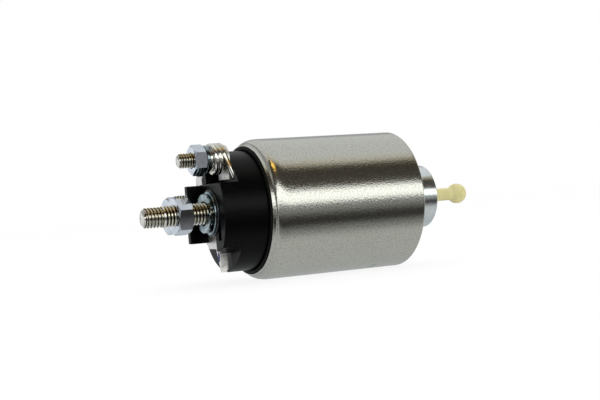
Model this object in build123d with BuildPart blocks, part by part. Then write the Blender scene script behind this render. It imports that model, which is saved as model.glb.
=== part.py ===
from build123d import *
import math
import os

# A starter solenoid lying on its axis. All sizes are in millimetres. The origin is the centre of
# the mounting face. +X points out of that face along the plunger, +Z is up, and the battery stud
# lies on the -Y side.

# Case
case_radius = 27.0
case_length = 64.3
case_wall = 2.4
case_front_round = 1.0
shoulder_length = 5.4
shoulder_drop = 2.1
rim_edge = 0.6
rim_cone = 1.8
stake_inset = 15.0
stake_count = 2
stake_turn = 252.0
stake_radius = 1.9
stake_depth = 1.2

# Front pole plate and mounting holes
plate_thickness = 13.5
bolt_edge = 4.6
bolt_count = 3
tap_radius = 2.1
press_clearance = 0.05

# Plunger, collar and guide sleeve
plunger_radius = 12.65
plunger_out = 14.8
plunger_length = 32.3
plunger_stroke = 10.0
stop_gap = 0.3
running_clearance = 0.08
sleeve_wall = 0.65
sleeve_flange_width = 1.3
sleeve_flange_thickness = 0.6
pin_bore_radius = 9.0
pin_bore_depth = 21.8
collar_thickness = 2.0
collar_inset = 0.8
collar_seat = 0.4
spring_recess_depth = 4.0

# Pull pin
stem_radius = 2.55
stem_clearance = 0.15
ball_radius = 4.1
ball_centre = 32.1
ball_flat = 3.9
pin_flange_radius = 7.6
pin_flange_thickness = 2.4
seat_thickness = 0.8
seat_clearance = 0.35

# Bobbin and windings
bobbin_wall = 0.9
bobbin_flange = 1.2
flange_clearance = 1.2
layer_clearance = 0.05
pull_in_share = 0.45
hold_in_share = 0.41
wrap_share = 0.055

# Fixed core and contact chamber
core_flange = 5.0
core_nose_clearance = 0.05
rod_radius = 2.5
gasket_thickness = 1.4
gasket_width = 1.6
chamber_depth = 13.6

# Springs
return_spring_radius = 6.0
return_spring_wire = 1.1
return_spring_turns = 6
return_spring_seat_depth = 6.0
jump_spring_radius = 7.2
jump_spring_wire = 1.3
jump_spring_turns = 5
contact_spring_radius = 4.5
contact_spring_wire = 0.8
contact_spring_turns = 3
rod_spring_radius = 2.6
rod_spring_wire = 0.6
rod_spring_turns = 5

# Contact rod and moving contact
rod_travel = 3.0
rod_shoulder_radius = 5.4
rod_shoulder_thickness = 1.2
rod_shoulder_gap = 0.3
contact_gap = 2.2
disc_radius = 12.5
disc_thickness = 2.2
bush_radius = 4.2
bush_flange_radius = 5.3
bush_flange = 0.9
clip_radius = 4.2
clip_thickness = 0.8
rod_tail = 4.6
rod_tail_radius = 1.8

# Terminal cap
cap_seal_gap = 1.45
seal_depth = 3.0
cap_flange_length = 5.1
cap_wall = 4.05
floor_out = 8.9
pad_out = 10.5
block_out = 17.7
wall_out = 22.7
rib_out = 15.0
motor_block_out = 14.1
cap_round = 0.5
block_top = 10.8
block_foot_outer = -12.8
block_foot_inner = -15.2
block_foot_step_y = -8.4
block_foot_edge = 3.85
side_recess_edge = 6.45
side_recess_width = 2.8
side_recess_height = 7.0
side_recess_z = -6.7
side_recess_depth = 2.0
wall_near = 0.5
wall_thickness = 3.0
wall_top = 10.6
wall_foot = -11.1
rib_top = 15.5
motor_block_side = 19.0
pad_step_y = -3.5
strap_pocket_top = -8.3
strap_pocket_side = -12.3
strap_pocket_height = 10.0
foot_clearance = 0.3
return_seat_radius = 3.2
return_seat_depth = 0.7

# Battery and motor studs, whose heads are the fixed contacts
battery_y = -8.8
motor_y = 12.8
m8_radius = 4.0
m8_lead_radius = 3.75
battery_stud_out = 26.6
battery_thread_out = 19.2
motor_stud_out = 18.4
motor_thread_out = 12.9
stud_chamfer = 1.0
stud_clearance = 0.15
head_inner = 5.7
head_half_height = 6.0
battery_head_edge = 3.8
motor_head_edge = 1.6
head_thickness = 3.0
head_round = 2.0
seal_width = 0.9
seal_thickness = 1.6

# Nuts and washers of both studs
collar_radius = 8.7
battery_collar_thickness = 0.5
washer_radius = 8.1
washer_thickness = 0.9
washer_clearance = 0.25
m8_spring_outer = 7.2
m8_spring_width = 2.7
m8_spring_thickness = 1.5
m8_spring_rise = 1.5
m8_spring_gap_turn = 90.0
m8_spring_slack = 0.2
m8_nut_width = 13.0
m8_nut_height = 5.5
m8_nut_turn = 44.7
battery_nut_out = 9.0
motor_nut_out = 6.4

# Motor strap
strap_thickness = 1.2
strap_top = 14.2
strap_foot = -13.5
strap_outer_y = 10.0
strap_pad_radius = 6.0
strap_near_y = -6.6
strap_foot_end_y = 1.4
strap_foot_rise = 2.4
tab_thickness = 3.7
tab_face_y = -7.3
tab_back_y = -4.3
tab_bottom = -22.3
tab_gap = 0.5

# Switch terminal
switch_y = -8.8
switch_z = 19.8
m6_radius = 3.0
m6_lead_radius = 2.75
switch_stud_out = 18.6
m6_nut_width = 10.0
m6_nut_out = 8.7
m6_nut_height = 4.6
m6_nut_turn = 32.0
m6_spring_outer = 5.3
m6_spring_width = 1.9
m6_spring_thickness = 1.3
switch_shoulder_radius = 4.2
switch_shoulder_out = 6.9
switch_plate_thickness = 0.8
switch_plate_half_width = 5.1
switch_plate_foot = 12.0
switch_leg_height = 2.0
switch_leg_depth = 3.6
lead_radius = 0.875
lead_turns = 2.45
lead_bend = 1.9
lead_hole_edge = 6.95
lead_hole_z = 12.8
lead_depth = 6.0
motor_lead_y = 7.0
motor_lead_reach = 0.6

# Places that follow from the sizes above
case_bore = case_radius - case_wall
case_end = -case_length
sleeve_bore = plunger_radius + running_clearance
sleeve_radius = sleeve_bore + sleeve_wall
bolt_circle = case_bore - bolt_edge
rim_outer = case_radius - shoulder_drop
rim_lip = rim_outer - rim_edge
cap_radius = rim_lip - cap_seal_gap
chamber_radius = cap_radius - cap_wall
cap_flange_back = case_end + seal_depth
cap_front = cap_flange_back + cap_flange_length
core_back = cap_front + gasket_thickness
bobbin_front = -plate_thickness
bobbin_back = core_back + core_flange
bobbin_bore = sleeve_radius + layer_clearance
bobbin_core = bobbin_bore + bobbin_wall
bobbin_rim = case_bore - flange_clearance
winding_room = bobbin_rim - bobbin_core
winding_front = bobbin_front - bobbin_flange
winding_back = bobbin_back + bobbin_flange
plunger_back = plunger_out - plunger_length
core_nose = plunger_back - plunger_stroke - stop_gap
core_spring_seat = core_nose - return_spring_seat_depth
plunger_spring_seat = plunger_back + spring_recess_depth
recess_radius = return_spring_radius + return_spring_wire
pin_bore_bottom = plunger_out - pin_bore_depth
collar_front = plunger_out - collar_inset
collar_back = collar_front - collar_thickness
chamber_floor = cap_front - chamber_depth
contact_face = chamber_floor + head_thickness
disc_back = contact_face + contact_gap
disc_front = disc_back + disc_thickness
rod_shoulder_front = core_back - rod_shoulder_gap
rod_shoulder_back = rod_shoulder_front - rod_shoulder_thickness
rod_front = plunger_spring_seat - plunger_stroke + rod_travel
clip_front = disc_back - bush_flange
clip_back = clip_front - clip_thickness
rod_back = clip_back - rod_tail
cap_floor = case_end - floor_out
cap_pad = case_end - pad_out
cap_block = case_end - block_out
wall_end = case_end - wall_out
rib_end = case_end - rib_out
motor_block = case_end - motor_block_out
wall_far = wall_near + wall_thickness
strap_front = motor_block - strap_thickness
return_seat = cap_pad - return_seat_depth
collar_face = cap_block - battery_collar_thickness
plate_back = cap_pad - switch_plate_thickness
switch_tip = cap_pad - switch_stud_out
switch_shoulder_end = cap_pad - switch_shoulder_out
m6_nut_back = cap_pad - m6_nut_out
lead_hole_y = lead_hole_edge - cap_radius


def at_x(x, y=0.0, z=0.0):
    """A sketch plane across the main direction, whose own axes run along Y and Z."""
    return Plane(origin=(x, y, z), x_dir=(0, 1, 0), z_dir=(1, 0, 0))


def turned(back, front, outer, inner=0.0, y=0.0, z=0.0, mode=Mode.ADD):
    """Add or cut a plain turned length, solid or hollow, between two places on X."""
    with BuildSketch(at_x(back, y, z)) as section:
        Circle(outer)
        if inner > 0:
            Circle(inner, mode=Mode.SUBTRACT)
    extrude(section.sketch, amount=front - back, mode=mode)


def coil(radius, wire, back, front, turns):
    """A round-wire compression spring between two seats on the main axis."""
    with BuildPart() as spring:
        with BuildLine() as line:
            span = front - back - wire
            Helix(span / turns, span, radius, center=(back + wire / 2, 0, 0), direction=(1, 0, 0))
        with BuildSketch(Plane(origin=line.line @ 0, z_dir=line.line % 0)):
            Circle(wire / 2)
        sweep()
    return spring


def hex_nut(back, height, width, bore, turn, y, z):
    """A hexagon nut with both rims chamfered at 30 degrees, its bore along X."""
    corner = width / 2 / math.cos(math.radians(30))
    drop = (corner - width / 2) * math.tan(math.radians(30))
    with BuildPart() as nut:
        with BuildSketch(at_x(back - height, y, z)):
            RegularPolygon(width / 2, 6, major_radius=False, rotation=turn)
            Circle(bore, mode=Mode.SUBTRACT)
        extrude(amount=height)
        with BuildSketch(Plane.XZ.offset(-y)) as section:
            with BuildLine():
                Polyline(
                    (back - height, z),
                    (back - height, z + width / 2),
                    (back - height + drop, z + corner),
                    (back - drop, z + corner),
                    (back, z + width / 2),
                    (back, z),
                    close=True,
                )
            make_face()
        revolve(section.sketch, axis=Axis((0, y, z), (1, 0, 0)), mode=Mode.INTERSECT)
    return nut


def split_washer(outer, width, thickness, rise):
    """A helical spring washer on the main axis, cut through at the top, its front edge at X = 0."""
    with BuildPart() as washer:
        with BuildLine() as line:
            Helix(
                rise,
                rise * 0.96,
                outer - width / 2,
                center=(-rise - thickness / 2, 0, 0),
                direction=(1, 0, 0),
            )
        with BuildSketch(Plane(origin=line.line @ 0, x_dir=(1, 0, 0), z_dir=line.line % 0)):
            Rectangle(thickness, width)
        sweep(is_frenet=True)
    return washer


# Case: a steel tube whose rear rim is rolled in over the cap, with stakes that hold the pole plate
with BuildPart() as case:
    with BuildSketch(Plane.XZ):
        with BuildLine():
            shoulder_start = (case_end + shoulder_length, case_radius)
            rim_corner = (case_end, rim_outer)
            round_start = (0, case_radius - case_front_round)
            round_end = (-case_front_round, case_radius)
            Line((0, case_bore), round_start)
            RadiusArc(round_start, round_end, case_front_round)
            Line(round_end, shoulder_start)
            TangentArc(shoulder_start, rim_corner, tangent=(-1, 0))
            Polyline(
                rim_corner,
                (case_end, rim_lip),
                (case_end + rim_cone, case_bore),
                (0, case_bore),
            )
        make_face()
    revolve(axis=Axis.X)
    stake_lift = 0.3
    for index in range(stake_count):
        spoke = Vector(0, 1, 0).rotate(Axis.X, stake_turn + index * 360 / stake_count)
        inside = Vector(-stake_inset, 0, 0) + spoke * (case_bore + stake_lift)
        outside = Vector(-stake_inset, 0, 0) + spoke * (case_radius + stake_lift)
        with Locations(Plane(origin=inside, z_dir=spoke)):
            Cone(
                stake_radius * 0.4,
                stake_radius * 0.75,
                stake_depth + stake_lift,
                align=(Align.CENTER, Align.CENTER, Align.MAX),
            )
        with Locations(Plane(origin=outside, z_dir=spoke)):
            Cone(
                stake_radius * 0.5,
                stake_radius,
                stake_depth + stake_lift,
                align=(Align.CENTER, Align.CENTER, Align.MAX),
                mode=Mode.SUBTRACT,
            )
case.part.label = "case"
export_step(case.part, "parts/case.step")

# Pole plate: closes the magnetic path at the front and carries the tapped mounting holes
with BuildPart() as pole_plate:
    plate_radius = case_bore - press_clearance
    turned(-plate_thickness, 0, plate_radius, sleeve_radius + layer_clearance)
    turned(
        -sleeve_flange_thickness,
        0,
        sleeve_radius + sleeve_flange_width + press_clearance,
        mode=Mode.SUBTRACT,
    )
    with BuildSketch(at_x(-plate_thickness)):
        with PolarLocations(bolt_circle, bolt_count, start_angle=90):
            Circle(tap_radius)
    extrude(amount=plate_thickness, mode=Mode.SUBTRACT)
pole_plate.part.label = "pole_plate"
export_step(pole_plate.part, "parts/pole_plate.step")

# Guide sleeve: a thin brass tube that the plunger slides in
with BuildPart() as guide_sleeve:
    turned(bobbin_back, 0, sleeve_radius, sleeve_bore)
    turned(-sleeve_flange_thickness, 0, sleeve_radius + sleeve_flange_width, sleeve_bore)
guide_sleeve.part.label = "guide_sleeve"
export_step(guide_sleeve.part, "parts/guide_sleeve.step")

# Bobbin: the nylon reel of both windings
with BuildPart() as bobbin:
    turned(bobbin_back, bobbin_front, bobbin_core, bobbin_bore)
    turned(winding_front, bobbin_front, bobbin_rim, bobbin_bore)
    turned(bobbin_back, winding_back, bobbin_rim, bobbin_bore)
bobbin.part.label = "bobbin"
export_step(bobbin.part, "parts/bobbin.step")

pull_in_inner = bobbin_core + layer_clearance
pull_in_outer = pull_in_inner + winding_room * pull_in_share
with BuildPart() as pull_in_winding:
    turned(winding_back, winding_front, pull_in_outer, pull_in_inner)
pull_in_winding.part.label = "pull_in_winding"
export_step(pull_in_winding.part, "parts/pull_in_winding.step")

hold_in_inner = pull_in_outer + layer_clearance
hold_in_outer = hold_in_inner + winding_room * hold_in_share
with BuildPart() as hold_in_winding:
    turned(winding_back, winding_front, hold_in_outer, hold_in_inner)
hold_in_winding.part.label = "hold_in_winding"
export_step(hold_in_winding.part, "parts/hold_in_winding.step")

wrap_inner = hold_in_outer + layer_clearance
wrap_outer = wrap_inner + winding_room * wrap_share
with BuildPart() as winding_wrap:
    turned(winding_back, winding_front, wrap_outer, wrap_inner)
winding_wrap.part.label = "winding_wrap"
export_step(winding_wrap.part, "parts/winding_wrap.step")

# Fixed core: a flange across the case and a nose inside the sleeve, bored for the contact rod
with BuildPart() as core:
    turned(core_back, bobbin_back, case_bore - press_clearance)
    turned(bobbin_back, core_nose, sleeve_bore - core_nose_clearance)
    turned(core_spring_seat, core_nose, recess_radius, mode=Mode.SUBTRACT)
    turned(core_back, core_nose, rod_radius + running_clearance, mode=Mode.SUBTRACT)
core.part.label = "core"
export_step(core.part, "parts/core.step")

# Plunger: bored from the front for the pull pin and recessed at the back for the return spring
with BuildPart() as plunger:
    turned(plunger_back, plunger_out, plunger_radius)
    chamfer(plunger.edges().filter_by(GeomType.CIRCLE), 0.5)
    turned(pin_bore_bottom, plunger_out, pin_bore_radius, mode=Mode.SUBTRACT)
    turned(collar_back, plunger_out, pin_bore_radius + collar_seat, mode=Mode.SUBTRACT)
    turned(plunger_back, plunger_spring_seat, recess_radius, mode=Mode.SUBTRACT)
plunger.part.label = "plunger"
export_step(plunger.part, "parts/plunger.step")

# Plunger collar: pressed into the front of the plunger, and the pin's stem passes through it
with BuildPart() as plunger_collar:
    turned(
        collar_back,
        collar_front,
        pin_bore_radius + collar_seat - press_clearance / 2,
        stem_radius + stem_clearance,
    )
plunger_collar.part.label = "plunger_collar"
export_step(plunger_collar.part, "parts/plunger_collar.step")

# Pull pin: a moulded nylon pin whose ball the shift lever's fork takes hold of
with BuildPart() as pull_pin:
    pin_back = pin_bore_bottom + seat_clearance
    turned(pin_back, pin_back + pin_flange_thickness, pin_flange_radius)
    turned(pin_back, ball_centre, stem_radius)
    with Locations((ball_centre, 0, 0)):
        Sphere(ball_radius)
    turned(ball_centre + ball_flat, ball_centre + 2 * ball_radius, ball_radius, mode=Mode.SUBTRACT)
pull_pin.part.label = "pull_pin"
export_step(pull_pin.part, "parts/pull_pin.step")

seat_back = pin_back + pin_flange_thickness
with BuildPart() as spring_seat:
    turned(
        seat_back,
        seat_back + seat_thickness,
        pin_bore_radius - seat_clearance,
        stem_radius + layer_clearance,
    )
spring_seat.part.label = "spring_seat"
export_step(spring_seat.part, "parts/spring_seat.step")

jump_spring = coil(
    jump_spring_radius, jump_spring_wire, seat_back + seat_thickness, collar_back, jump_spring_turns
)
jump_spring.part.label = "jump_spring"
export_step(jump_spring.part, "parts/jump_spring.step")

return_spring = coil(
    return_spring_radius,
    return_spring_wire,
    core_spring_seat,
    plunger_spring_seat,
    return_spring_turns,
)
return_spring.part.label = "return_spring"
export_step(return_spring.part, "parts/return_spring.step")

# Contact rod: pushed back by the plunger in the last part of its stroke
with BuildPart() as contact_rod:
    turned(clip_back, rod_front, rod_radius)
    turned(rod_back, clip_back, rod_tail_radius)
    turned(rod_shoulder_back, rod_shoulder_front, rod_shoulder_radius)
    chamfer(contact_rod.edges().filter_by(GeomType.CIRCLE).sort_by(Axis.X)[-1], 0.5)
contact_rod.part.label = "contact_rod"
export_step(contact_rod.part, "parts/contact_rod.step")

# Retaining clip on the rod, open on one side
with BuildPart() as rod_clip:
    with BuildSketch(at_x(clip_back)):
        Circle(clip_radius)
        Circle(rod_radius, mode=Mode.SUBTRACT)
        with Locations((0, -clip_radius)):
            Rectangle(rod_radius * 1.2, clip_radius * 2, mode=Mode.SUBTRACT)
    extrude(amount=clip_thickness)
rod_clip.part.label = "rod_clip"
export_step(rod_clip.part, "parts/rod_clip.step")

# Moving contact: a thick copper disc that bridges the two fixed contacts
with BuildPart() as contact_disc:
    turned(disc_back, disc_front, disc_radius, bush_radius + layer_clearance)
    chamfer(contact_disc.edges().filter_by(GeomType.CIRCLE).sort_by(SortBy.RADIUS)[-2:], 0.4)
contact_disc.part.label = "contact_disc"
export_step(contact_disc.part, "parts/contact_disc.step")

rod_slip = rod_radius + stem_clearance
with BuildPart() as front_bush:
    turned(disc_back, disc_front, bush_radius, rod_slip)
    turned(disc_front, disc_front + bush_flange, bush_flange_radius, rod_slip)
front_bush.part.label = "front_bush"
export_step(front_bush.part, "parts/front_bush.step")

with BuildPart() as rear_bush:
    turned(clip_front + layer_clearance, disc_back, bush_flange_radius, rod_slip)
rear_bush.part.label = "rear_bush"
export_step(rear_bush.part, "parts/rear_bush.step")

contact_spring = coil(
    contact_spring_radius,
    contact_spring_wire,
    disc_front + bush_flange,
    rod_shoulder_back,
    contact_spring_turns,
)
contact_spring.part.label = "contact_spring"
export_step(contact_spring.part, "parts/contact_spring.step")

rod_spring = coil(rod_spring_radius, rod_spring_wire, return_seat, clip_back, rod_spring_turns)
rod_spring.part.label = "rod_spring"
export_step(rod_spring.part, "parts/rod_spring.step")

# Gasket that seals the contact chamber against the core
with BuildPart() as chamber_gasket:
    gasket_outer = case_bore - 2 * press_clearance
    turned(cap_front, core_back, gasket_outer, gasket_outer - gasket_width)
chamber_gasket.part.label = "chamber_gasket"
export_step(chamber_gasket.part, "parts/chamber_gasket.step")

# Seal ring in the gap between the rolled rim and the cap
with BuildPart() as cap_seal:
    seal_inner = cap_radius + press_clearance
    seal_outer = rim_lip - 2 * press_clearance
    with BuildSketch(Plane.XZ):
        with BuildLine():
            Polyline(
                (case_end, seal_inner),
                (cap_flange_back, seal_inner),
                (cap_flange_back, case_bore - 2 * press_clearance),
                (case_end + rim_cone, case_bore - 2 * press_clearance),
                (case_end, seal_outer),
            )
            ThreePointArc(
                (case_end, seal_outer),
                (case_end - 0.35, (seal_outer + seal_inner) / 2),
                (case_end, seal_inner),
            )
        make_face()
    revolve(axis=Axis.X)
cap_seal.part.label = "cap_seal"
export_step(cap_seal.part, "parts/cap_seal.step")

# Terminal cap: a moulded cup that closes the contact chamber and carries the three terminals
with BuildPart() as cap:
    with BuildSketch(Plane.XZ):
        with BuildLine():
            Polyline(
                (cap_front, chamber_radius),
                (cap_front, case_bore - 2 * press_clearance),
                (cap_flange_back, case_bore - 2 * press_clearance),
                (cap_flange_back, cap_radius),
                (cap_floor, cap_radius),
                (cap_floor, 0),
                (chamber_floor, 0),
                (chamber_floor, chamber_radius),
                close=True,
            )
        make_face()
    revolve(axis=Axis.X)
    # the near half of the end stands a little higher than the far half
    with BuildSketch(at_x(cap_pad)):
        Circle(cap_radius)
        with BuildLine():
            Polyline(
                (-cap_radius, -cap_radius),
                (pad_step_y, -cap_radius),
                (pad_step_y, wall_foot),
                (wall_near, wall_foot),
                (wall_near, cap_radius),
                (-cap_radius, cap_radius),
                close=True,
            )
        make_face(mode=Mode.INTERSECT)
    extrude(amount=cap_floor - cap_pad)
    # the raised block that the battery stud passes through
    with BuildSketch(at_x(cap_block)):
        Circle(cap_radius)
        with BuildLine():
            foot_y = block_foot_edge - cap_radius
            foot_slope = (block_foot_inner - block_foot_outer) / (block_foot_step_y - foot_y)
            Polyline(
                (-cap_radius, block_top),
                (wall_near, block_top),
                (wall_near, strap_foot + foot_clearance * 2),
                (block_foot_step_y, strap_foot + foot_clearance * 2),
                (block_foot_step_y, block_foot_inner),
                (foot_y, block_foot_outer),
                (-cap_radius, block_foot_outer - foot_slope * block_foot_edge),
                close=True,
            )
        make_face(mode=Mode.INTERSECT)
    extrude(amount=cap_floor - cap_block)
    fillet(cap.faces().sort_by(Axis.X)[0].edges(), cap_round)
    # the block that carries the motor terminal
    with BuildSketch(at_x(motor_block)):
        with Locations(((wall_near + motor_block_side) / 2, 0)):
            RectangleRounded(motor_block_side - wall_near, 2 * wall_top, 1.5)
    extrude(amount=cap_floor - motor_block)
    # the barrier wall between the two main terminals, and its low rib under the switch terminal
    with BuildSketch(at_x(wall_end)) as wall_outline:
        with Locations((wall_near + wall_thickness / 2, (wall_top + wall_foot) / 2)):
            Rectangle(wall_thickness, wall_top - wall_foot)
    extrude(amount=cap_floor - wall_end)
    fillet(cap.faces().sort_by(Axis.X)[0].edges(), cap_round)
    with BuildSketch(at_x(rib_end)):
        with Locations((wall_near + wall_thickness / 2, (rib_top + wall_top) / 2)):
            Rectangle(wall_thickness, rib_top - wall_top)
    extrude(amount=cap_floor - rib_end)
    # the slot in the wall's foot that lets the motor strap through
    with BuildSketch(at_x(strap_front - foot_clearance)):
        with Locations((wall_near + wall_thickness / 2, wall_foot)):
            Rectangle(wall_thickness + 2 * foot_clearance, 2 * foot_clearance + 2 * strap_foot_rise)
    extrude(amount=strap_thickness + 2 * foot_clearance, mode=Mode.SUBTRACT)
    # the pocket where the motor strap comes round to the near side
    with BuildSketch(at_x(cap_block)):
        pocket_middle = strap_pocket_top - strap_pocket_height / 2
        with Locations(((strap_pocket_side + wall_near) / 2, pocket_middle)):
            Rectangle(wall_near - strap_pocket_side, strap_pocket_height)
    extrude(amount=motor_block - cap_block, mode=Mode.SUBTRACT)
    # a small moulding recess beside the battery stud
    with BuildSketch(at_x(cap_block)):
        with Locations((side_recess_edge - cap_radius, side_recess_z)):
            Rectangle(side_recess_width, side_recess_height)
    extrude(amount=side_recess_depth, mode=Mode.SUBTRACT)
    # the stud holes, with a wider seat for each seal ring, and the pockets of the contact heads
    for stud_y in (battery_y, motor_y):
        turned(cap_block, chamber_floor, m8_radius + stud_clearance, y=stud_y, mode=Mode.SUBTRACT)
        turned(
            chamber_floor - seal_thickness,
            chamber_floor,
            m8_radius + seal_width + layer_clearance,
            y=stud_y,
            mode=Mode.SUBTRACT,
        )
    turned(return_seat, chamber_floor, return_seat_radius, mode=Mode.SUBTRACT)
    # the slot of the switch plate's leg and the holes of the two winding leads
    with BuildSketch(at_x(cap_pad)):
        with Locations((switch_y, switch_plate_foot + switch_leg_height / 2)):
            Rectangle(
                switch_plate_half_width + 2 * layer_clearance,
                switch_leg_height + 2 * layer_clearance,
            )
    extrude(amount=switch_leg_depth, mode=Mode.SUBTRACT)
    turned(
        cap_pad,
        cap_front,
        lead_radius + stud_clearance,
        y=lead_hole_y,
        z=lead_hole_z,
        mode=Mode.SUBTRACT,
    )
    turned(
        cap_floor,
        chamber_floor,
        lead_radius + stud_clearance,
        y=motor_lead_y,
        z=strap_top + lead_radius,
        mode=Mode.SUBTRACT,
    )
cap.part.label = "cap"
export_step(cap.part, "parts/cap.step")


def contact_head(inner, outer):
    """The copper contact that the moving disc touches, on one side of the axis."""
    with BuildSketch(at_x(chamber_floor)) as outline:
        with Locations(((inner + outer) / 2, 0)):
            RectangleRounded(abs(outer - inner), 2 * head_half_height, head_round)
    extrude(outline.sketch, amount=head_thickness)


# Battery stud: contact head, full thread and a slightly smaller lead section at the tip
with BuildPart() as battery_stud:
    contact_head(battery_head_edge - chamber_radius, -head_inner)
    turned(cap_block - battery_thread_out, chamber_floor, m8_radius, y=battery_y)
    turned(
        cap_block - battery_stud_out, cap_block - battery_thread_out, m8_lead_radius, y=battery_y
    )
    chamfer(battery_stud.edges().filter_by(GeomType.CIRCLE).sort_by(Axis.X)[0], stud_chamfer)
battery_stud.part.label = "battery_stud"
export_step(battery_stud.part, "parts/battery_stud.step")

# Motor stud: the same kind of stud, shorter, on the far side of the barrier wall
with BuildPart() as motor_stud:
    contact_head(head_inner, chamber_radius - motor_head_edge)
    turned(strap_front - motor_thread_out, chamber_floor, m8_radius, y=motor_y)
    turned(
        strap_front - motor_stud_out, strap_front - motor_thread_out, m8_lead_radius, y=motor_y
    )
    chamfer(motor_stud.edges().filter_by(GeomType.CIRCLE).sort_by(Axis.X)[0], stud_chamfer)
motor_stud.part.label = "motor_stud"
export_step(motor_stud.part, "parts/motor_stud.step")

# Seal rings round both main studs, between the contact heads and the cap
with BuildPart() as stud_seals:
    for stud_y in (battery_y, motor_y):
        turned(
            chamber_floor - seal_thickness,
            chamber_floor,
            m8_radius + seal_width,
            m8_radius + layer_clearance,
            y=stud_y,
        )
stud_seals.part.label = "stud_seals"
export_step(stud_seals.part, "parts/stud_seals.step")

# Battery terminal's steel collar, against the block's end face
with BuildPart() as battery_collar:
    turned(collar_face, cap_block, collar_radius, m8_radius + stud_clearance, y=battery_y)
battery_collar.part.label = "battery_collar"
export_step(battery_collar.part, "parts/battery_collar.step")

# Flat washers, spring washers and nuts of both studs. The nuts stand off loosely, as supplied
with BuildPart() as stud_washers:
    for stud_y, seat in ((battery_y, collar_face), (motor_y, strap_front)):
        turned(seat - washer_thickness, seat, washer_radius, m8_radius + washer_clearance, y=stud_y)
    chamfer(stud_washers.edges().filter_by(GeomType.CIRCLE).sort_by(SortBy.RADIUS)[-4:], 0.2)
stud_washers.part.label = "stud_washers"
export_step(stud_washers.part, "parts/stud_washers.step")

m8_spring = split_washer(
    m8_spring_outer, m8_spring_width, m8_spring_thickness, m8_spring_rise
).part.rotate(Axis.X, m8_spring_gap_turn)
with BuildPart() as stud_spring_washers:
    for stud_y, seat in ((battery_y, collar_face), (motor_y, strap_front)):
        add(m8_spring.moved(Location((seat - washer_thickness - m8_spring_slack, stud_y, 0))))
stud_spring_washers.part.label = "stud_spring_washers"
export_step(stud_spring_washers.part, "parts/stud_spring_washers.step")

with BuildPart() as stud_nuts:
    for stud_y, back in (
        (battery_y, cap_block - battery_nut_out),
        (motor_y, strap_front - motor_nut_out),
    ):
        bore = m8_radius + layer_clearance
        add(hex_nut(back, m8_nut_height, m8_nut_width, bore, m8_nut_turn, stud_y, 0).part)
stud_nuts.part.label = "stud_nuts"
export_step(stud_nuts.part, "parts/stud_nuts.step")

# Motor strap: a tinned plate on the far block that passes under the barrier wall to the near side
# and ends in a thick tab, cut off square, for the motor's lead
with BuildPart() as motor_strap:
    with BuildSketch(at_x(strap_front)):
        with Locations(((wall_far + 0.3 + strap_outer_y) / 2, strap_top / 2)):
            RectangleRounded(strap_outer_y - wall_far - 0.3, strap_top, 1.5)
        with Locations((motor_y, 0)):
            Circle(strap_pad_radius)
        with BuildLine():
            Polyline(
                (strap_foot_end_y, strap_foot),
                (wall_far + 0.8, strap_foot + strap_foot_rise),
                (motor_y + strap_pad_radius * 0.7, -strap_pad_radius * 0.7),
                (motor_y - strap_pad_radius, 0),
                (wall_far + foot_clearance, strap_pocket_top - foot_clearance),
                (wall_near - foot_clearance, strap_pocket_top - foot_clearance),
                (strap_near_y, strap_pocket_top - foot_clearance),
                (strap_near_y, strap_foot),
                close=True,
            )
        make_face()
        with Locations((motor_y, 0)):
            Circle(m8_radius + layer_clearance, mode=Mode.SUBTRACT)
    extrude(amount=strap_thickness)
    tab_right = cap_pad - tab_gap
    tab_left = tab_right - tab_thickness
    with BuildSketch(at_x(tab_left)) as tab_side:
        with BuildLine():
            Polyline(
                (tab_face_y, strap_foot - 0.9),
                (strap_near_y, strap_foot + 0.3),
                (tab_back_y, strap_foot + 0.3),
                (tab_back_y, strap_foot - 1.0),
                (tab_face_y + 0.7, tab_bottom + 1.4),
                (tab_face_y, tab_bottom),
                close=True,
            )
        make_face()
    extrude(amount=tab_thickness)
    with BuildSketch(Plane.XZ.offset(-tab_face_y + 1)) as corner_cuts:
        with BuildLine():
            Polyline(
                (tab_right - 1.8, strap_foot + 0.4),
                (tab_right + 0.1, strap_foot + 0.4),
                (tab_right + 0.1, strap_foot - 1.8),
                close=True,
            )
        make_face()
        with BuildLine():
            Polyline(
                (tab_right - 0.9, tab_bottom - 0.1),
                (tab_right + 0.1, tab_bottom - 0.1),
                (tab_right + 0.1, tab_bottom + 1.2),
                (tab_right - 0.6, tab_bottom + 0.6),
                close=True,
            )
        make_face()
    extrude(amount=-6, mode=Mode.SUBTRACT)
motor_strap.part.label = "motor_strap"
export_step(motor_strap.part, "parts/motor_strap.step")

# Switch terminal: a stud with a shoulder for the lead's turns, on a plate with a leg in the cap
with BuildPart() as switch_stud:
    m6_thread_end = m6_nut_back - m6_nut_height
    turned(m6_thread_end, switch_shoulder_end, m6_radius, y=switch_y, z=switch_z)
    turned(switch_tip, m6_thread_end, m6_lead_radius, y=switch_y, z=switch_z)
    turned(switch_shoulder_end, plate_back, switch_shoulder_radius, y=switch_y, z=switch_z)
    chamfer(switch_stud.edges().filter_by(GeomType.CIRCLE).sort_by(Axis.X)[0], stud_chamfer * 0.7)
switch_stud.part.label = "switch_stud"
export_step(switch_stud.part, "parts/switch_stud.step")

with BuildPart() as switch_plate:
    with BuildSketch(at_x(plate_back)):
        with Locations((switch_y, (switch_plate_foot + switch_z) / 2)):
            Rectangle(2 * switch_plate_half_width, switch_z - switch_plate_foot)
        with Locations((switch_y, switch_z)):
            Circle(switch_plate_half_width)
    extrude(amount=switch_plate_thickness)
    with BuildSketch(at_x(cap_pad)):
        with Locations((switch_y, switch_plate_foot + switch_leg_height / 2)):
            Rectangle(switch_plate_half_width, switch_leg_height)
    extrude(amount=switch_leg_depth - layer_clearance)
switch_plate.part.label = "switch_plate"
export_step(switch_plate.part, "parts/switch_plate.step")

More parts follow.
